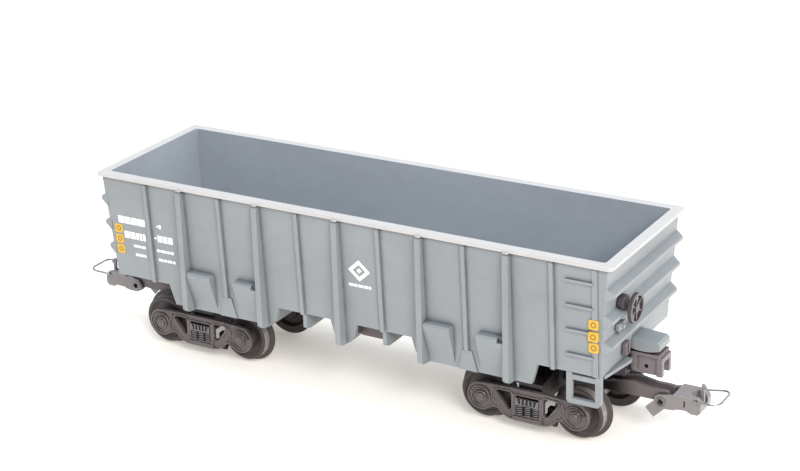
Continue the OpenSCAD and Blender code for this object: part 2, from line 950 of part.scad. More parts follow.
body_shell();
underframe();
ballast_bar();
body_screws();
kingpins();
draft_gear();  // draft_gear_a
rotate([0, 0, 180]) draft_gear();  // draft_gear_b
stirrup_step();  // stirrup_step_a
rotate([0, 0, 180]) stirrup_step();  // stirrup_step_b
air_reservoir();
brake_platform();
brake_housing();
brake_lever();
chain_bracket();
brake_wheel();
at_truck_a() bolster();  // bolster_a
at_truck_b() bolster();  // bolster_b
at_truck_a() side_frame();  // side_frame_a_near
at_truck_a() mirror([0, 1, 0]) side_frame();  // side_frame_a_far
at_truck_b() mirror([0, 1, 0]) side_frame();  // side_frame_b_near
at_truck_b() side_frame();  // side_frame_b_far
at_truck_a() springs();  // springs_a_near
at_truck_a() mirror([0, 1, 0]) springs();  // springs_a_far
at_truck_b() mirror([0, 1, 0]) springs();  // springs_b_near
at_truck_b() springs();  // springs_b_far
at_truck_a() brake_beams();  // brake_beams_a
at_truck_b() brake_beams();  // brake_beams_b
for (k = [1:4]) {
  x = (k < 3 ? 1 : -1) * truck_x + (k % 2 == 1 ? 1 : -1) * wheelbase / 2;
  translate([x, 0, 0]) axle();
  translate([x, 0, 0]) wheel();
  translate([x, 0, 0]) mirror([0, 1, 0]) wheel();
}
at_truck_a() coupler_head();  // coupler_head_a
at_truck_b() coupler_head();  // coupler_head_b
at_truck_a() eyelets();  // eyelets_a
at_truck_b() eyelets();  // eyelets_b
at_truck_a() bail();  // bail_a
at_truck_b() bail();  // bail_b
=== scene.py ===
import math

import bmesh
import bpy
from mathutils import Matrix, Vector
from mathutils.bvhtree import BVHTree


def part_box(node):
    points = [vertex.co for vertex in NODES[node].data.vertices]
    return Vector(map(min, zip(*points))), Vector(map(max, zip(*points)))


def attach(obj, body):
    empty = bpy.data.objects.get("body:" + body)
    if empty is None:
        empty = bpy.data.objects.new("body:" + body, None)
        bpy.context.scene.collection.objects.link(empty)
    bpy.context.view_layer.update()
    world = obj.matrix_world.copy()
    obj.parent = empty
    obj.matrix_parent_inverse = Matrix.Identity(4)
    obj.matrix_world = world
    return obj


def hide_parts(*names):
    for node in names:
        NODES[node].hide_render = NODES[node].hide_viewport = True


# The model hopper car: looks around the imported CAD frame. Lengths are metres; MM turns the car's
# own millimetres into them. X runs along the car to the brake wheel, the near side faces -Y.

MM = 0.001
VIEW_AZIMUTH = math.radians(30.71)
VIEW_ELEVATION = math.radians(21.75)
VIEW_ROLL = math.radians(-1.66)
CAMERA_AT = Vector((186.9, -307.3, 174.2)) * MM
LENS_MM = 85.2
RIM_THICK = 0.75 * MM
# The tub's inside is nearer the middle than this in X and Y, and higher than this in Z.
TUB_IN = Vector((57, 15.6, 19)) * MM

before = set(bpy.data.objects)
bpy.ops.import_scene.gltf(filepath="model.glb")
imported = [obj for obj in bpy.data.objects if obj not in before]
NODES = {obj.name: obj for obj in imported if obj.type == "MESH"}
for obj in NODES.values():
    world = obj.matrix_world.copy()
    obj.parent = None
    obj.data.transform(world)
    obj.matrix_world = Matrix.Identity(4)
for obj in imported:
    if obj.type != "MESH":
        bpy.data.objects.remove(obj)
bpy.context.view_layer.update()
RIM_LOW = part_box("body_shell")[1].z - RIM_THICK


# ---- camera, floor and light ----

def make_camera():
    """Camera at the photograph's view angle, rolled as the photograph is."""
    sin_a, cos_a = math.sin(VIEW_AZIMUTH), math.cos(VIEW_AZIMUTH)
    sin_e, cos_e = math.sin(VIEW_ELEVATION), math.cos(VIEW_ELEVATION)
    back = Vector((sin_a * cos_e, -cos_a * cos_e, sin_e))
    level = Vector((cos_a, sin_a, 0))
    right = level * math.cos(VIEW_ROLL) + back.cross(level) * math.sin(VIEW_ROLL)
    turn = Matrix((right, back.cross(right), back)).transposed().to_4x4()
    data = bpy.data.cameras.new("camera")
    data.lens = LENS_MM
    data.sensor_width = 36
    data.clip_start = 0.01
    data.clip_end = 20
    camera = bpy.data.objects.new("camera", data)
    camera.matrix_world = Matrix.Translation(CAMERA_AT) @ turn
    bpy.context.scene.collection.objects.link(camera)
    bpy.context.scene.camera = camera


def make_area_light(name, location, target, size, watts, colour):
    """A round soft light, aimed at the target."""
    data = bpy.data.lights.new(name, "AREA")
    data.shape = "DISK"
    data.size = size
    data.energy = watts
    data.color = colour
    light = bpy.data.objects.new(name, data)
    light.location = location
    aim = Vector(target) - Vector(location)
    light.rotation_euler = aim.to_track_quat("-Z", "Y").to_euler()
    bpy.context.scene.collection.objects.link(light)


def make_sky():
    """White surroundings, bluer and dimmer overhead than at the height of the table."""
    world = bpy.data.worlds.new("studio")
    world.use_nodes = True
    tree = world.node_tree
    place = tree.nodes.new("ShaderNodeTexCoord")
    split = tree.nodes.new("ShaderNodeSeparateXYZ")
    ramp = tree.nodes.new("ShaderNodeValToRGB")
    tree.links.new(place.outputs["Generated"], split.inputs[0])
    tree.links.new(split.outputs["Z"], ramp.inputs["Fac"])
    tree.links.new(ramp.outputs["Color"], tree.nodes["Background"].inputs["Color"])
    ramp.color_ramp.elements[0].position = 0.05
    ramp.color_ramp.elements[0].color = (1, 0.985, 0.96, 1)
    ramp.color_ramp.elements[1].position = 0.9
    ramp.color_ramp.elements[1].color = (0.70, 0.80, 0.95, 1)
    tree.nodes["Background"].inputs["Strength"].default_value = 1.0
    return world


def make_studio():
    """Pale floor, white surroundings and three soft lights."""
    scene = bpy.context.scene
    scene.view_settings.view_transform = "Standard"
    scene.view_settings.look = "None"
    scene.world = make_sky()
    make_area_light("key", (0.95, -0.85, 0.95), (0, 0, 0.02), 0.60, 17.0, (1, 0.985, 0.965))
    make_area_light("end_fill", (0.85, 0.10, 0.10), (0.06, 0, 0.02), 0.40, 1.8, (1, 0.99, 0.97))
    make_area_light("overhead", (-0.05, 0.12, 0.85), (0, 0, 0), 0.55, 4.0, (0.93, 0.97, 1))

    mesh = bpy.data.meshes.new("floor")
    half = 6
    mesh.from_pydata([(-half, -half, 0), (half, -half, 0), (half, half, 0), (-half, half, 0)], [],
                     [(0, 1, 2, 3)])
    floor = bpy.data.objects.new("floor", mesh)
    scene.collection.objects.link(floor)
    paper = bpy.data.materials.new("floor_paper")
    paper.use_nodes = True
    shader = paper.node_tree.nodes["Principled BSDF"]
    shader.inputs["Base Color"].default_value = (0.90, 0.855, 0.795, 1)
    shader.inputs["Roughness"].default_value = 0.75
    shader.inputs["Emission Color"].default_value = (1, 0.95, 0.88, 1)
    shader.inputs["Emission Strength"].default_value = 0.30
    mesh.materials.append(paper)


# ---- node helpers for materials ----

class Shading:
    """A material's node tree, with short calls for the nodes that the finishes are made of."""

    def __init__(self, name):
        self.material = bpy.data.materials.new(name)
        self.material.use_nodes = True
        self.tree = self.material.node_tree
        self.shader = self.tree.nodes["Principled BSDF"]
        self.place = self.node("ShaderNodeTexCoord").outputs["Object"]

    def node(self, kind, **values):
        made = self.tree.nodes.new(kind)
        for key, value in values.items():
            setattr(made, key, value)
        return made

    def feed(self, socket, value):
        """Links an output to a socket, or sets the socket to a plain value."""
        if isinstance(value, bpy.types.NodeSocket):
            self.tree.links.new(value, socket)
        else:
            socket.default_value = value

    def noise(self, size, detail=3.0, roughness=0.5, stretch=None):
        """Noise from 0 to 1 whose features are about size metres across."""
        made = self.node("ShaderNodeTexNoise")
        place = self.place
        if stretch:
            mapping = self.node("ShaderNodeMapping")
            mapping.inputs["Scale"].default_value = stretch
            self.feed(mapping.inputs["Vector"], place)
            place = mapping.outputs["Vector"]
        self.feed(made.inputs["Vector"], place)
        made.inputs["Scale"].default_value = 1 / size
        made.inputs["Detail"].default_value = detail
        made.inputs["Roughness"].default_value = roughness
        return made.outputs["Fac"]

    def between(self, value, low, high, to_low=0.0, to_high=1.0):
        """value mapped smoothly from low..high to to_low..to_high."""
        made = self.node("ShaderNodeMapRange", interpolation_type="SMOOTHSTEP")
        self.feed(made.inputs["Value"], value)
        made.inputs["From Min"].default_value = low
        made.inputs["From Max"].default_value = high
        made.inputs["To Min"].default_value = to_low
        made.inputs["To Max"].default_value = to_high
        return made.outputs["Result"]

    def axis(self, vector, letter):
        """A vector's length along X, Y or Z."""
        split = self.node("ShaderNodeSeparateXYZ")
        self.feed(split.inputs[0], vector)
        return split.outputs[letter]

    def maths(self, operation, first, second=0.0):
        made = self.node("ShaderNodeMath", operation=operation)
        self.feed(made.inputs[0], first)
        self.feed(made.inputs[1], second)
        return made.outputs[0]

    def mix(self, factor, first, second):
        """First colour where factor is 0, second where it is 1."""
        made = self.node("ShaderNodeMix", data_type="RGBA")
        self.feed(made.inputs["Factor"], factor)
        self.feed(made.inputs["A"], first)
        self.feed(made.inputs["B"], second)
        return made.outputs["Result"]

    def edges(self, radius):
        """1 on edges and corners, 0 on flat ground: how far a rounded normal leans off the plain one."""
        bevel = self.node("ShaderNodeBevel", samples=6)
        bevel.inputs["Radius"].default_value = radius
        plain = self.node("ShaderNodeNewGeometry").outputs["Normal"]
        dot = self.node("ShaderNodeVectorMath", operation="DOT_PRODUCT")
        self.feed(dot.inputs[0], bevel.outputs["Normal"])
        self.feed(dot.inputs[1], plain)
        return self.between(dot.outputs["Value"], 0.995, 0.80)

    def crevices(self, reach, shut=0.30):
        """1 in corners and narrow gaps, 0 in the open. shut is how open a gap still counts as 1."""
        made = self.node("ShaderNodeAmbientOcclusion", samples=8)
        made.inputs["Distance"].default_value = reach
        return self.between(made.outputs["AO"], 0.95, shut)

    def bump(self, height, depth):
        made = self.node("ShaderNodeBump")
        made.inputs["Distance"].default_value = depth
        made.inputs["Strength"].default_value = 1.0
        self.feed(made.inputs["Height"], height)
        self.feed(self.shader.inputs["Normal"], made.outputs["Normal"])

    def finish(self, colour, roughness):
        self.feed(self.shader.inputs["Base Color"], colour)
        self.feed(self.shader.inputs["Roughness"], roughness)
        return self.material


def rgb(red, green, blue):
    """A linear colour, opaque."""
    return (red, green, blue, 1)


def grey(level, warm):
    """A linear grey, pushed towards warm (or cool if negative)."""
    return rgb(level * (1 + warm), level, level * (1 - warm))


def toned(colour, factor):
    """The colour made lighter or darker by a factor."""
    return tuple(min(1, factor * part) for part in colour[:3]) + (1,)


# ---- finishes ----

def moulded_plastic(name, colour, wear_and_highlight, painted_shade, roughness, grain=0.004, reach=1.1, shut=0.30,
                    ledge=None, sunk=None):
    """Satin moulded plastic: faint flow marks, paler edges that are partly rubbed wear and partly
    painted highlight, and painted shade in the corners.

    grain is the surface's roughness in mm, reach how far the painted shade reaches out of a corner in
    mm, and shut how open a spot may be and still be as dark as a corner, from 0 to 1. ledge is the
    height, in metres, of an overhang with a painted shadow line under it. sunk is how far from the
    middle of the car, in metres, the plastic is painted dark as shade.
    """
    s = Shading(name)
    shade_strength = 0.9
    flow = s.noise(22 * MM, detail=4, roughness=0.55, stretch=(0.5, 1, 1.6))
    tone = s.mix(s.between(flow, 0.3, 0.7), colour, toned(colour, 0.90))
    mottle = s.between(s.noise(3 * MM), 0.35, 0.75, 0.0, 0.25)
    tone = s.mix(mottle, tone, toned(colour, 1.12))
    # Paler edges: partly rubbed wear, partly a painted highlight along every edge.
    uneven = s.between(s.noise(1.6 * MM, detail=4), 0.35, 0.65, 0.25, 0.8)
    tone = s.mix(s.maths("MULTIPLY", s.edges(0.16 * MM), uneven), tone, wear_and_highlight)
    # Painted shade: corners and narrow gaps are darkened through an occlusion mask, patchy in strength.
    patchy = s.between(s.noise(4 * MM, detail=4), 0.3, 0.7, 0.6, 0.95)
    tone = s.mix(s.maths("MULTIPLY", s.crevices(reach * MM, shut), patchy), tone, painted_shade)
    # Painted shadow: a dark line just under the overhang at height ledge.
    if ledge:
        height = s.axis(s.place, "Z")
        line = s.between(height, ledge - 0.50 * MM, ledge - 0.15 * MM, 0.0, shade_strength)
        tone = s.mix(line, tone, painted_shade)
    # Painted shade: plastic within sunk of the car's middle, under the tub, is darkened.
    if sunk:
        from_middle = s.maths("ABSOLUTE", s.axis(s.place, "X"))
        fade = 3 * MM
        tone = s.mix(s.between(from_middle, sunk + fade, sunk - fade, 0.0, shade_strength), tone, painted_shade)
    s.bump(s.noise(0.22 * MM, detail=2), grain * MM)
    s.shader.inputs["Specular IOR Level"].default_value = 0.42
    sheen = s.between(s.noise(7 * MM), 0.3, 0.7, roughness - 0.05, roughness + 0.07)
    return s.finish(tone, sheen)


def rim_paint(name):
    """Pale paint brushed on the rim, thin and greyer in places."""
    s = Shading(name)
    brush = s.noise(1.2 * MM, detail=5, roughness=0.6, stretch=(0.15, 1, 1))
    patch = s.noise(9 * MM, detail=4)
    tone = s.mix(s.between(brush, 0.35, 0.75, 0.0, 0.5), grey(0.465, 0.03), grey(0.40, 0.02))
    tone = s.mix(s.between(patch, 0.60, 0.75, 0.0, 0.35), tone, grey(0.36, -0.03))
    uneven = s.between(s.noise(2 * MM, detail=4), 0.45, 0.7, 0.0, 0.7)
    tone = s.mix(s.maths("MULTIPLY", s.edges(0.15 * MM), uneven), tone, grey(0.31, -0.03))
    s.bump(s.noise(0.35 * MM), 0.006 * MM)
    return s.finish(tone, s.between(patch, 0.3, 0.7, 0.42, 0.55))


def decal_ink(name, colour, thin):
    """Printed ink with small gaps where the print is thin."""
    s = Shading(name)
    gaps = s.between(s.noise(0.35 * MM, detail=4, roughness=0.7), 0.58, 0.72, 0.0, 0.55)
    tone = s.mix(gaps, colour, thin)
    s.bump(s.noise(0.3 * MM, detail=2), 0.003 * MM)
    return s.finish(tone, s.between(s.noise(2 * MM), 0.3, 0.7, 0.35, 0.5))


def bare_metal(name, colour, dull, roughness):
    """Drawn or pressed metal: fine scratches, darker tarnish in patches, brighter edges."""
    s = Shading(name)
    scratch = s.noise(0.18 * MM, detail=5, roughness=0.7)
    patch = s.noise(1.8 * MM, detail=4)
    tone = s.mix(s.between(patch, 0.35, 0.7, 0.0, 0.8), colour, dull)
    tone = s.mix(s.maths("MULTIPLY", s.edges(0.12 * MM), 0.6), tone, toned(colour, 1.35))
    s.shader.inputs["Metallic"].default_value = 0.85
    s.bump(scratch, 0.004 * MM)
    return s.finish(tone, s.between(scratch, 0.25, 0.75, roughness - 0.08, roughness + 0.1))


def wheel_plastic(name, colour, polished, band):
    """Dark wheel plastic, with the tread rubbed bright. band is the tread's |y| span."""
    s = Shading(name)
    soft = 0.2 * MM
    across = s.maths("ABSOLUTE", s.axis(s.place, "Y"))
    facing = s.node("ShaderNodeNewGeometry").outputs["Normal"]
    sideways = s.maths("ABSOLUTE", s.axis(facing, "Y"))
    in_band = s.maths("MULTIPLY", s.between(across, band[0], band[0] + soft),
                      s.between(across, band[1], band[1] - soft))
    on_tread = s.maths("MULTIPLY", in_band, s.between(sideways, 0.5, 0.2))
    tone = s.mix(s.between(s.noise(2.5 * MM, detail=4), 0.3, 0.7), colour, toned(colour, 0.75))
    # Paler edges: partly rubbed wear, partly a painted highlight.
    tone = s.mix(s.maths("MULTIPLY", s.edges(0.14 * MM), 0.35), tone, toned(colour, 2.2))
    streak = s.noise(0.5 * MM, detail=4, roughness=0.6, stretch=(0.3, 3, 0.3))
    rub = s.maths("MULTIPLY", on_tread, s.between(streak, 0.3, 0.6, 0.35, 0.9))
    tone = s.mix(rub, tone, polished)
    s.bump(s.noise(0.3 * MM), 0.006 * MM)
    return s.finish(tone, s.between(rub, 0.0, 1.0, 0.46, 0.28))


def make_finishes():
    """All the car's finishes. A plastic has a base colour, one for its paler edges (partly rubbed wear,
    partly painted highlight) and one for painted shade.
    """
    # Near black for the painted shade in corners and under the car.
    shade_black = rgb(0.003, 0.002, 0.002)
    return {
        # Body plastic, with a painted shadow line under the rim and painted shade in its corners.
        "body": moulded_plastic("body_plastic", rgb(0.240, 0.256, 0.266), rgb(0.32, 0.338, 0.35),
                                rgb(0.085, 0.09, 0.10), 0.40, ledge=RIM_LOW),
        # Painted light: the tub's inside is a paler, bluer copy of the body plastic, making up for too
        # little light inside the tub.
        "inside": moulded_plastic("tub_inside", rgb(0.298, 0.322, 0.350), rgb(0.37, 0.39, 0.42),
                                  rgb(0.28, 0.30, 0.325), 0.5),
        "rim": rim_paint("rim_paint"),
        "dark": moulded_plastic("frame_plastic", rgb(0.100, 0.079, 0.081), rgb(0.36, 0.32, 0.32),
                                shade_black, 0.24, grain=0.006, reach=0.8, shut=0.5),
        # Painted shade: the bolster's tongue darkens within 55 mm of the car's middle, where it lies
        # under the tub.
        "tongue": moulded_plastic("tongue_plastic", rgb(0.120, 0.096, 0.098), rgb(0.38, 0.34, 0.34),
                                  shade_black, 0.26, grain=0.006, reach=2.0, sunk=55 * MM),
        # Painted shade: the underframe and brake beams are near black as the shade under the tub, with
        # painted shade reaching 6 mm from corners.
        "under": moulded_plastic("underside_painted_shade", rgb(0.022, 0.015, 0.018), rgb(0.07, 0.055, 0.06),
                                 shade_black, 0.35, grain=0.006, reach=6.0),
        "gear": moulded_plastic("gear_plastic", rgb(0.150, 0.123, 0.130), rgb(0.40, 0.36, 0.37),
                                rgb(0.010, 0.007, 0.009), 0.26, grain=0.006, reach=0.9),
        "brake": moulded_plastic("brake_plastic", rgb(0.060, 0.046, 0.052), rgb(0.40, 0.36, 0.37),
                                 rgb(0.006, 0.004, 0.005), 0.20, grain=0.006, reach=0.6),
        "spring": moulded_plastic("spring_plastic", rgb(0.135, 0.122, 0.126), rgb(0.46, 0.44, 0.45),
                                  rgb(0.006, 0.004, 0.006), 0.22, grain=0.004, reach=0.6),
        "wheel": wheel_plastic("wheel_plastic", rgb(0.042, 0.033, 0.032), rgb(0.30, 0.27, 0.25),
                               (8.1 * MM, 10.0 * MM)),
        "coupler": moulded_plastic("coupler_cast", rgb(0.215, 0.195, 0.192), rgb(0.50, 0.48, 0.47),
                                   rgb(0.014, 0.011, 0.012), 0.24, grain=0.010, reach=0.9),
        "wire": bare_metal("bail_wire", rgb(0.40, 0.38, 0.38), rgb(0.22, 0.21, 0.21), 0.28),
        "steel": bare_metal("turned_steel", rgb(0.42, 0.42, 0.43), rgb(0.25, 0.25, 0.25), 0.32),
        "rivet": bare_metal("rivet_metal", rgb(0.20, 0.19, 0.19), rgb(0.09, 0.085, 0.085), 0.35),
        "white_ink": decal_ink("white_ink", grey(0.84, -0.01), grey(0.55, -0.02)),
        "yellow_ink": decal_ink("yellow_ink", rgb(0.62, 0.36, 0.025), rgb(0.50, 0.31, 0.06)),
        "amber_ink": decal_ink("amber_ink", rgb(0.27, 0.16, 0.035), rgb(0.25, 0.19, 0.09)),
    }


# ---- CAD nodes that stay: softened edges and finishes ----

def soften(node, width):
    """Rounds a CAD node's edges in its modifiers; the CAD mesh itself stays as it is."""
    weld = node.modifiers.new("weld", "WELD")
    weld.merge_threshold = 0.0005 * MM
    merge = node.modifiers.new("whole_faces", "DECIMATE")
    merge.decimate_type = "DISSOLVE"
    merge.angle_limit = math.radians(0.5)
    merge.delimit = {"MATERIAL"}
    bevel = node.modifiers.new("soft_edges", "BEVEL")
    bevel.width = width
    bevel.segments = 2
    bevel.limit_method = "ANGLE"
    bevel.angle_limit = math.radians(35)
    bevel.use_clamp_overlap = True
    node.modifiers.new("flat_ground", "WEIGHTED_NORMAL")


def paint(node, finish):
    node.data.materials.clear()
    node.data.materials.append(finish)


def finish_shell(finishes):
    """The tub: body plastic outside, a paler and bluer copy of it inside as painted light, and paint on
    the rim.
    """
    shell = NODES["body_shell"]
    paint(shell, finishes["body"])
    shell.data.materials.append(finishes["inside"])
    shell.data.materials.append(finishes["rim"])
    inside, rim = 1, 2
    square, tilted = 0.9, 0.5
    for face in shell.data.polygons:
        at, facing = face.center, face.normal
        outward = Vector((at.x * 0.25, at.y, 0))
        inward = facing.dot(outward) < 0 or abs(facing.x) > square and facing.x * at.x < 0
        in_tub = abs(at.y) < TUB_IN.y and abs(at.x) < TUB_IN.x
        tub_wall = inward and in_tub and facing.z < tilted
        if at.z > RIM_LOW and facing.z > -tilted and not tub_wall:
            face.material_index = rim
        elif at.z > TUB_IN.z and in_tub and (inward or facing.z > square):
            face.material_index = inside
    soften(shell, 0.10 * MM)


def finish_nodes(finishes):
    """Every node but the tub: its finish, and how far its edges are rounded, in mm."""
    families = {
        "dark": ("air_reservoir", "side_frame", "springs"),
        "under": ("underframe", "brake_beams"),
        "tongue": ("bolster",),
        "gear": ("draft_gear", "chain_bracket"),
        "brake": ("brake_housing", "brake_wheel"),
        "body": ("stirrup_step", "brake_platform", "brake_lever"),
        "wheel": ("wheel_",),
        "steel": ("axle", "ballast_bar", "body_screws", "kingpins"),
        "coupler": ("coupler_head",),
        "rivet": ("eyelets",),
        "wire": ("bail",),
    }
    softened = {
        "stirrup_step": 0.16, "brake_platform": 0.12, "brake_lever": 0.12, "draft_gear": 0.10,
        "bolster": 0.12, "coupler_head": 0.12, "brake_wheel": 0.06, "underframe": 0.12,
        "air_reservoir": 0.15, "chain_bracket": 0.08, "brake_housing": 0.12,
    }
    for name, node in NODES.items():
        for finish, starts in families.items():
            if name.startswith(starts):
                paint(node, finishes[finish])
        for start, width in softened.items():
            if name.startswith(start):
                soften(node, width * MM)


# ---- small mesh helpers ----

def new_piece(name, mesh, finish, body):
    """A mesh put in the scene with one finish, on the given body."""
    piece = bpy.data.objects.new(name, mesh)
    bpy.context.scene.collection.objects.link(piece)
    mesh.materials.clear()
    mesh.materials.append(finish)
    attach(piece, body)
    return piece


def mesh_of(bm, name):
    """The finished mesh of bm, which is freed."""
    mesh = bpy.data.meshes.new(name)
    bmesh.ops.recalc_face_normals(bm, faces=bm.faces)
    bm.to_mesh(mesh)
    bm.free()
    return mesh


def add_prism(bm, base, top):
    """A closed solid between a loop of base points and the matching loop of top points."""
    lower = [bm.verts.new(p) for p in base]
    upper = [bm.verts.new(p) for p in top]
    count = len(lower)
    bm.faces.new(lower)
    bm.faces.new(upper)
    for i in range(count):
        j = (i + 1) % count
        bm.faces.new((lower[i], lower[j], upper[j], upper[i]))


# ---- marks on the sides ----

class Side:
    """One side sheet of the tub, as a place to put marks. x and z are millimetres, z upwards."""

    def __init__(self, sign):
        shell = NODES["body_shell"]
        bm = bmesh.new()
        bm.from_mesh(shell.data)
        self.tree = BVHTree.FromBMesh(bm)
        bm.free()
        self.sign = sign

    def level(self, x, z, out):
        """The point that far out from the car's middle. x is to the right as one faces the side."""
        return Vector((x * MM if self.sign < 0 else -x * MM, self.sign * out, z * MM))

    def point(self, x, z, proud):
        """Point on the sheet at (x, z), proud of it."""
        outside = self.level(x, z, 40 * MM)
        hit, normal, _, _ = self.tree.ray_cast(outside, Vector((0, -self.sign, 0)))
        return hit + normal * proud

    def ground(self, outline):
        """How far out the sheet reaches, at most, under the outline."""
        return max(abs(self.point(x, z, 0).y) for x, z in outline)


def add_mark(bm, side, outline):
    """A thin printed patch with the given outline of (x, z) points."""
    proud, let_in = 0.03 * MM, 0.05 * MM
    base = [side.point(x, z, -let_in) for x, z in outline]
    top = [side.point(x, z, proud) for x, z in outline]
    add_prism(bm, base, top)


def rounded_square(x, z, half_x, half_z):
    """Points round a square whose sides bow out and whose corners are round."""
    count, squareness = 32, 0.35
    points = []
    for i in range(count):
        turn = 2 * math.pi * i / count
        u, v = math.cos(turn), math.sin(turn)
        points.append((x + half_x * math.copysign(abs(u) ** squareness, u),
                       z + half_z * math.copysign(abs(v) ** squareness, v)))
    return points


def add_plate(bm, side, outline, ground, proud):
    """A plate let into the side, with a flat upright face proud of the highest ground under it."""
    let_in = 1.1 * MM
    base = [side.level(x, z, ground - let_in) for x, z in outline]
    top = [side.level(x, z, ground + proud) for x, z in outline]
    add_prism(bm, base, top)


def bar(x, z, width, height):
    """Outline of an upright rectangle from its left edge and middle height."""
    low, high, right = z - height / 2, z + height / 2, x + width
    return [(x, low), (right, low), (right, high), (x, high)]


def add_row(bm, side, x, z, height, widths, gap):
    """A row of plain blocks, one after another."""
    for width in widths:
        add_mark(bm, side, bar(x, z, width, height))
        x += width + gap


def add_lozenge(bm, side, x, z, reach_x, reach_z, band):
    """A printed lozenge round (x, z), as four strips. band is their width, as a share of the reach."""
    corners = 4

    def around(i, scale):
        turn = 2 * math.pi * i / corners
        return x + scale * reach_x * math.cos(turn), z + scale * reach_z * math.sin(turn)

    for i in range(corners):
        outer = [around(i, 1), around(i + 1, 1)]
        inner = [around(i + 1, 1 - band), around(i, 1 - band)]
        add_mark(bm, side, outer + inner)


# Rows of plain blocks in place of the printing: left end, middle height, block height, the
# blocks' widths and the gap between them, all in mm.
PRINT_ROWS = (
    (-54.9, 30.9, 1.6, (1.5, 1.45, 1.5, 1.9), 0.2),
    (-53.7, 27.55, 1.6, (1.3, 1.3, 0.65, 0.65, 0.65), 0.24),
    (-51.6, 25.2, 0.6, (1.0, 0.8, 1.0), 0.18),
    (-51.3, 23.2, 0.6, (0.7, 1.2, 0.5), 0.18),
    (-45.0, 30.8, 0.35, (0.4,), 0.1),
    (-44.4, 30.8, 0.9, (0.6,), 0.1),
    (-45.8, 28.0, 0.4, (0.55,), 0.2),
    (-45.0, 28.0, 1.5, (1.15, 1.15, 1.15), 0.22),
    (-45.5, 25.2, 0.6, (0.9, 1.3, 0.6, 0.9), 0.22),
    (-45.3, 23.1, 0.6, (1.2, 0.8, 1.0, 0.7), 0.22),
)
LOZENGE_X, LOZENGE_Z = 4.5, 30.0
ROW_UNDER_LOZENGE = (1.9, 26.7, 0.6, (1.1, 0.7, 1.2, 0.9, 0.6), 0.17)
REFLECTORS_X = (-55.0, 55.1)
REFLECTORS_Z = (28.75, 26.35, 23.95)


def make_print(finishes, label, side):
    """Plain blocks and a lozenge in place of the car's printing."""
    bm = bmesh.new()
    for row in PRINT_ROWS:
        add_row(bm, side, *row)
    x, z = LOZENGE_X, LOZENGE_Z
    add_lozenge(bm, side, x, z, 2.5, 2.3, 0.42)
    half_x, half_z = 0.6, 0.55
    add_mark(bm, side, [(x - half_x, z), (x, z - half_z), (x + half_x, z), (x, z + half_z)])
    add_row(bm, side, *ROW_UNDER_LOZENGE)
    new_piece("side_print_" + label, mesh_of(bm, "side_print"), finishes["white_ink"],
              "car_body")


def make_reflectors(finishes, label, side):
    """Two columns of yellow squares, each with a darker ring on it."""
    squares = bmesh.new()
    rings = bmesh.new()
    ring_sides, ring_out, ring_in = 24, 0.6, 0.34
    for x, z in ((x, z) for x in REFLECTORS_X for z in REFLECTORS_Z):
        outline = rounded_square(x, z, 1.0, 0.98)
        ground = side.ground(outline)
        add_plate(squares, side, outline, ground, 0.06 * MM)
        for i in range(ring_sides):
            a, b = (2 * math.pi * (i + k) / ring_sides for k in (0, 1))
            strip = [(x + r * math.cos(t), z + r * math.sin(t)) for r, t in
                     ((ring_out, a), (ring_out, b), (ring_in, b), (ring_in, a))]
            add_plate(rings, side, strip, ground, 0.09 * MM)
    new_piece("reflectors_" + label, mesh_of(squares, "reflectors"), finishes["yellow_ink"],
              "car_body")
    new_piece("reflector_rings_" + label, mesh_of(rings, "reflector_rings"), finishes["amber_ink"],
              "car_body")


def make_side_marks(finishes, label, sign):
    """Everything on one side of the tub: sign is -1 for the near side and 1 for the far side."""
    side = Side(sign)
    make_print(finishes, label, side)
    make_reflectors(finishes, label, side)


# ---- truck side frames, springs and bolster ends ----

# In mm, for a truck's -Y side: half the wheelbase, the axles' height, how far out the side frame's
# inner face lies, and the thickness of its plate.
ARM = 10.2
AXLE_Z = 6.1
FRAME_IN = 10.9
FRAME_THICK = 0.75
FRAME_FACE = FRAME_IN + FRAME_THICK - 0.1  # where raised details start, let into the plate
BOX_FACES = ((0, 1, 3, 2), (4, 6, 7, 5), (0, 4, 5, 1), (2, 3, 7, 6), (0, 2, 6, 4), (1, 5, 7, 3))


def arc(x, z, radius, start, stop, steps):
    """Points on an arc in the side frame's plane, from start to stop degrees."""
    turns = [math.radians(start + (stop - start) * i / steps) for i in range(steps + 1)]
    return [(x + radius * math.cos(t), z + radius * math.sin(t)) for t in turns]


def mirrored(points):
    return [(-x, z) for x, z in reversed(points)]


def frame_outline():
    """Outer outline of a cast side frame, clockwise: top chord, round axle boxes, spring seat."""
    right = [(0.0, 9.45), (3.5, 9.45), (6.5, 9.4), (9.3, 9.25), (11.5, 9.0)]
    right += arc(ARM - 0.05, AXLE_Z + 0.1, 3.05, 38, -92, 12)
    right += [(9.3, 3.3), (8.2, 4.0), (7.3, 4.45), (6.5, 4.4), (5.9, 3.7), (5.1, 3.05),
              (4.2, 2.65), (3.0, 2.45)]
    return right + mirrored(right[1:])


def frame_windows():
    """The two triangular windows, clockwise, and the spring window, the other way round."""
    slope = [(3.5, 8.2), (3.75, 8.45), (6.3, 8.4), (6.8, 8.1), (6.5, 7.5), (4.5, 4.8),
             (4.0, 4.5), (3.5, 4.9)]
    well = [(-2.85, 3.75), (-2.65, 3.55), (2.65, 3.55), (2.85, 3.75), (2.85, 8.1), (2.55, 8.4),
            (-2.55, 8.4), (-2.85, 8.1)]
    return [slope, mirrored(slope), well]


def inset_loop(loop, distance):
    """Moves a closed loop sideways by distance: inwards if it runs clockwise, else outwards."""
    moved = []
    count = len(loop)
    for i, (x, z) in enumerate(loop):
        before, after = loop[i - 1], loop[(i + 1) % count]
        along = Vector((after[0] - before[0], after[1] - before[1])).normalized()
        moved.append((x + along.y * distance, z - along.x * distance))
    return moved


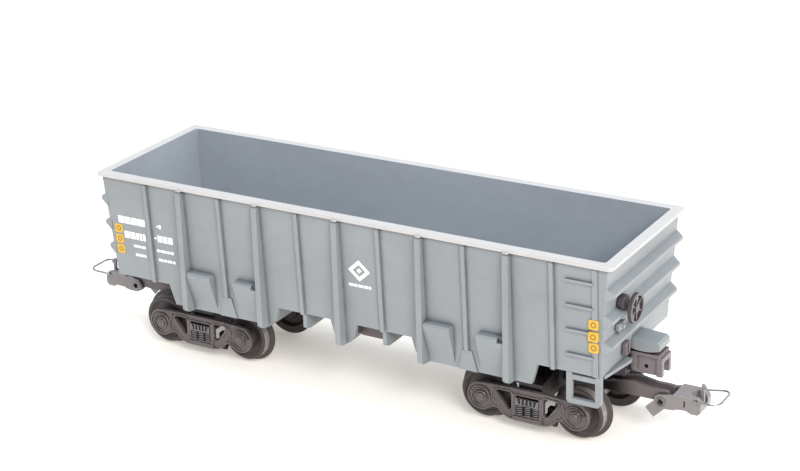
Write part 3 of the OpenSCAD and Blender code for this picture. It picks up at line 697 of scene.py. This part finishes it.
def mesh_from_curve(data):
    """The mesh that a curve's bevel gives."""
    holder = bpy.data.objects.new(data.name, data)
    bpy.context.scene.collection.objects.link(holder)
    bpy.context.view_layer.update()
    evaluated = holder.evaluated_get(bpy.context.evaluated_depsgraph_get())
    mesh = bpy.data.meshes.new_from_object(evaluated)
    bpy.data.objects.remove(holder)
    return mesh


def curve_mesh(name, loops, rounding, depth=None):
    """A plate of that depth with windows, from closed loops, or with no depth a bead along them."""
    data = bpy.data.curves.new(name, "CURVE")
    data.dimensions = "2D" if depth else "3D"
    data.fill_mode = "BOTH" if depth else "FULL"
    data.bevel_resolution = 2
    data.bevel_depth = rounding
    if depth:
        data.extrude = depth / 2 - rounding
        data.offset = -rounding
    for loop in loops:
        spline = data.splines.new("POLY")
        spline.points.add(len(loop) - 1)
        for point, (x, z) in zip(spline.points, loop):
            point.co = (x * MM, z * MM, 0, 1)
        spline.use_cyclic_u = True
    return mesh_from_curve(data)


def upright(out):
    """Matrix that stands a mesh drawn in (x, z) up on the truck's -Y side, out mm off its middle."""
    return Matrix(((1, 0, 0, 0), (0, 0, -1, -out * MM), (0, 1, 0, 0), (0, 0, 0, 1)))


def on_side(x, z, out):
    """The point at (x, z) on the truck's -Y side, out mm off its middle."""
    return (x * MM, -out * MM, z * MM)


def add_drum(bm, x, z, out, radius, height, sides, dome):
    """A short drum at (x, z) that rises from out mm off the truck's middle. dome is its chamfer."""
    loops = []
    turns = [2 * math.pi * i / sides for i in range(sides)]
    for reach, at in ((radius, 0.0), (radius, height - dome), (radius - dome, height)):
        loops.append([bm.verts.new(on_side(x + reach * math.cos(t), z + reach * math.sin(t), out + at))
                      for t in turns])
    for low, high in zip(loops, loops[1:]):
        for i in range(sides):
            j = (i + 1) % sides
            bm.faces.new((low[i], low[j], high[j], high[i]))
    bm.faces.new(loops[0])
    bm.faces.new(loops[-1])


def add_block(bm, low, high):
    """A box between two corners, in mm."""
    xs, ys, zs = zip(low, high)
    verts = [bm.verts.new(Vector((x, y, z)) * MM) for x in xs for y in ys for z in zs]
    for face in BOX_FACES:
        bm.faces.new([verts[i] for i in face])


def add_curved_bar(bm, points, height, width):
    """A raised strip of that width along points of the frame's face."""
    last = len(points) - 1
    rows = []
    for i, (x, z) in enumerate(points):
        ahead, behind = points[min(i + 1, last)], points[max(i - 1, 0)]
        along = Vector((ahead[0] - behind[0], ahead[1] - behind[1])).normalized()
        side = Vector((-along.y, along.x)) * width / 2
        row = []
        for sign, at in ((-1, 0.0), (-0.75, height), (0.75, height), (1, 0.0)):
            row.append(bm.verts.new(on_side(x + sign * side.x, z + sign * side.y, FRAME_FACE + at)))
        rows.append(row)
    for first, second in zip(rows, rows[1:]):
        for i in range(4):
            j = (i + 1) % 4
            bm.faces.new((first[i], first[j], second[j], second[i]))
    bm.faces.new(rows[0])
    bm.faces.new(rows[-1])


def add_frame_plate(bm):
    """The frame's plate, and the rolled flanges along its outline and windows."""
    outline, windows = frame_outline(), frame_windows()
    plate = curve_mesh("plate", [outline] + windows, 0.06 * MM, FRAME_THICK * MM)
    plate.transform(upright(FRAME_IN + FRAME_THICK / 2))
    flanges = [inset_loop(outline, 0.22)] + [inset_loop(window, -0.2) for window in windows]
    bead = curve_mesh("bead", flanges, 0.24 * MM)
    bead.transform(upright(FRAME_IN + FRAME_THICK))
    bm.from_mesh(plate)
    bm.from_mesh(bead)


def add_axle_box(bm, end):
    """A stepped cap with three bolts over the axle, raised arcs over it and a strip round it.

    end is -1 or 1. The strip is a short arc under the box at end 1. At end -1 it goes on over the
    top, in longer steps.
    """
    x = end * ARM
    bolt_circle = 0.58
    add_drum(bm, x, AXLE_Z, FRAME_FACE, radius=1.3, height=0.45, sides=28, dome=0.12)
    add_drum(bm, x, AXLE_Z, FRAME_FACE + 0.4, radius=0.85, height=0.35, sides=24, dome=0.1)
    add_drum(bm, x, AXLE_Z, FRAME_FACE + 0.7, radius=0.32, height=0.14, sides=20, dome=0.05)
    for bolt_x, bolt_z in arc(x, AXLE_Z, bolt_circle, 90, 330, 2):
        add_drum(bm, bolt_x, bolt_z, FRAME_FACE + 0.7, radius=0.17, height=0.12, sides=6, dome=0.03)
    for radius, stop in ((1.72, 30), (2.2, 55)):
        crown = arc(x, AXLE_Z, radius, 90 - end * 75, 90 + end * stop, 14)
        add_curved_bar(bm, crown, height=0.42, width=0.2)
    strip = arc(x, AXLE_Z, 2.1, 205 if end > 0 else -25, 268, 8)
    add_curved_bar(bm, strip, height=0.28, width=0.24)


def add_fittings(bm, end):
    """A bent rib, an oval boss, two bolt heads and a post, between axle box and springs."""
    rib = [(end * 7.3, 8.6), (end * 7.9, 7.3), (end * 7.75, 6.4)]
    add_curved_bar(bm, rib, height=0.26, width=0.3)
    oval = arc(end * 7.55, 5.75, 0.42, 0, 180, 6) + arc(end * 7.45, 5.25, 0.42, 180, 360, 6)
    add_curved_bar(bm, oval + oval[:1], height=0.22, width=0.18)
    bolt_z = 8.9
    add_drum(bm, end * 3.3, bolt_z, FRAME_FACE, radius=0.24, height=0.3, sides=12, dome=0.08)
    add_drum(bm, end * 5.6, bolt_z, FRAME_FACE, radius=0.20, height=0.25, sides=12, dome=0.08)
    post_x, half = end * 3.05, 0.2
    add_block(bm, (post_x - half, -FRAME_FACE - 0.3, 3.6), (post_x + half, -FRAME_FACE + 0.1, 8.2))


def side_frame_mesh():
    """Cast side frame on a truck's -Y side, with a spring seat, and behind the springs a dark plate
    that is painted shade.
    """
    bm = bmesh.new()
    add_frame_plate(bm)
    for end in (-1, 1):
        add_axle_box(bm, end)
        add_fittings(bm, end)
    add_block(bm, (-3.2, -FRAME_FACE - 0.42, 2.75), (3.2, -FRAME_IN, 3.55))
    # A dark plate behind the springs: painted shade, closing the gaps between the coils.
    add_block(bm, (-3.0, -FRAME_IN - 0.02, 3.4), (3.0, -FRAME_IN + 0.2, 8.5))
    return mesh_of(bm, "side_frame")


def coil_mesh(x):
    """One wound coil spring, x mm along from the middle of the truck's -Y side."""
    wire, reach, turns, steps = 0.14, 0.60, 5.25, 20
    low, high = 3.55, 6.2
    middle = FRAME_IN + 0.55
    data = bpy.data.curves.new("coil", "CURVE")
    data.dimensions = "3D"
    data.bevel_depth = wire * MM
    data.bevel_resolution = 2
    data.use_fill_caps = True
    spline = data.splines.new("POLY")
    count = int(turns * steps)
    spline.points.add(count)
    for i, point in enumerate(spline.points):
        turn = 2 * math.pi * i / steps
        rise = low + wire + (high - low - 2 * wire) * i / count
        along, out = x + reach * math.cos(turn), middle - reach * math.sin(turn)
        point.co = (*on_side(along, rise, out), 1)
    return mesh_from_curve(data)


def springs_mesh():
    """Three wound coil springs side by side."""
    apart = 1.75
    bm = bmesh.new()
    for k in (-1, 0, 1):
        bm.from_mesh(coil_mesh(k * apart))
    return mesh_of(bm, "springs")


def bolster_end_mesh():
    """Ribs, a lip and two wedges on the face of the bolster's end, over the springs."""
    bm = bmesh.new()
    face, proud = 11.75, 12.0
    foot, rib_top, rib_half = 6.2, 7.45, 0.13
    for s in (-1, 1):
        wedge = [(s * 2.45, 6.25), (s * 2.45, 7.5), (s * 2.2, 7.5), (s * 1.7, 6.25)]
        base = [on_side(x, z, face) for x, z in wedge]
        top = [on_side(x, z, proud) for x, z in wedge]
        add_prism(bm, base, top)
    add_block(bm, (-2.5, -proud, 6.1), (2.5, -face, 6.32))
    for x in (-1.25, -0.42, 0.42, 1.25):
        add_block(bm, (x - rib_half, -proud, foot), (x + rib_half, -face, rib_top))
    return mesh_of(bm, "bolster_end")


def shade_by_angle(mesh, degrees):
    """Smooth shading, with edges sharper than the angle kept crisp."""
    for face in mesh.polygons:
        face.use_smooth = True
    mesh.set_sharp_from_angle(angle=math.radians(degrees))


def make_truck_details(finishes):
    """On both sides of both trucks, cast frames and wound springs take the place of the plain CAD
    ones, and a ribbed bolster end is added.
    """
    stand_ins = ((side_frame_mesh(), "side_frame", "dark", 32),
                 (springs_mesh(), "springs", "spring", 50))
    bolster_end = bolster_end_mesh()
    half_turn = Matrix.Rotation(math.pi, 4, "Z")
    for truck, side in ((truck, side) for truck in ("a", "b") for side in ("near", "far")):
        low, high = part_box(f"side_frame_{truck}_{side}")
        place = Matrix.Translation(((low.x + high.x) / 2, 0, 0))
        if side == "far":
            place = place @ half_turn
        for shape, node, finish, crisp in stand_ins:
            mesh = shape.copy()
            mesh.transform(place)
            piece = new_piece(f"{node}_detail_{truck}_{side}", mesh, finishes[finish],
                              f"truck_{truck}")
            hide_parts(f"{node}_{truck}_{side}")
            shade_by_angle(mesh, crisp)
        mesh = bolster_end.copy()
        mesh.transform(place)
        new_piece(f"bolster_end_{truck}_{side}", mesh, finishes["spring"], f"truck_{truck}")


# ---- put the scene together ----

make_camera()
make_studio()
finishes = make_finishes()
finish_nodes(finishes)
finish_shell(finishes)
make_side_marks(finishes, "near", -1)
make_side_marks(finishes, "far", 1)
make_truck_details(finishes)
